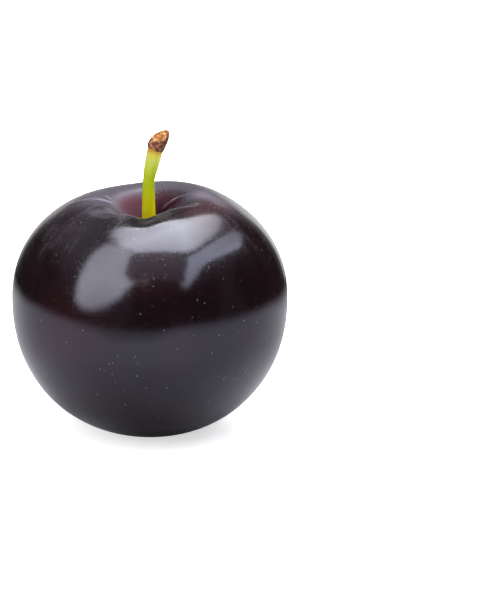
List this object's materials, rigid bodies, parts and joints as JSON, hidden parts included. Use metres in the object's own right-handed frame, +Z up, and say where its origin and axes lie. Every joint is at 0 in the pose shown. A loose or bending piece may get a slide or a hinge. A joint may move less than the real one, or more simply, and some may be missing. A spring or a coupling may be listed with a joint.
{
  "type": "plum",
  "caption": "Whole ripe black plum, round with a notched hollow round its stalk, a green stalk with a brown corky end, and a small flat spot to stand on.",
  "frame": {"origin": "on the surface that the plum stands on, below the middle of the fruit", "axes": "+Z up along the core, from the blossom end to the stalk; X across the cheeks; -Y towards the seam's notch in the hollow's crest"},
  "size_m": [0.0558, 0.0536, 0.0621],
  "materials": {
    "plum_skin": "gloss",
    "green_stalk": "satin",
    "cork_end": "matte"
  },
  "bodies": {
    "root": {"fruit": "plum_skin", "stalk": "green_stalk", "stalk_end": "cork_end"}
  },
  "joints": []
}
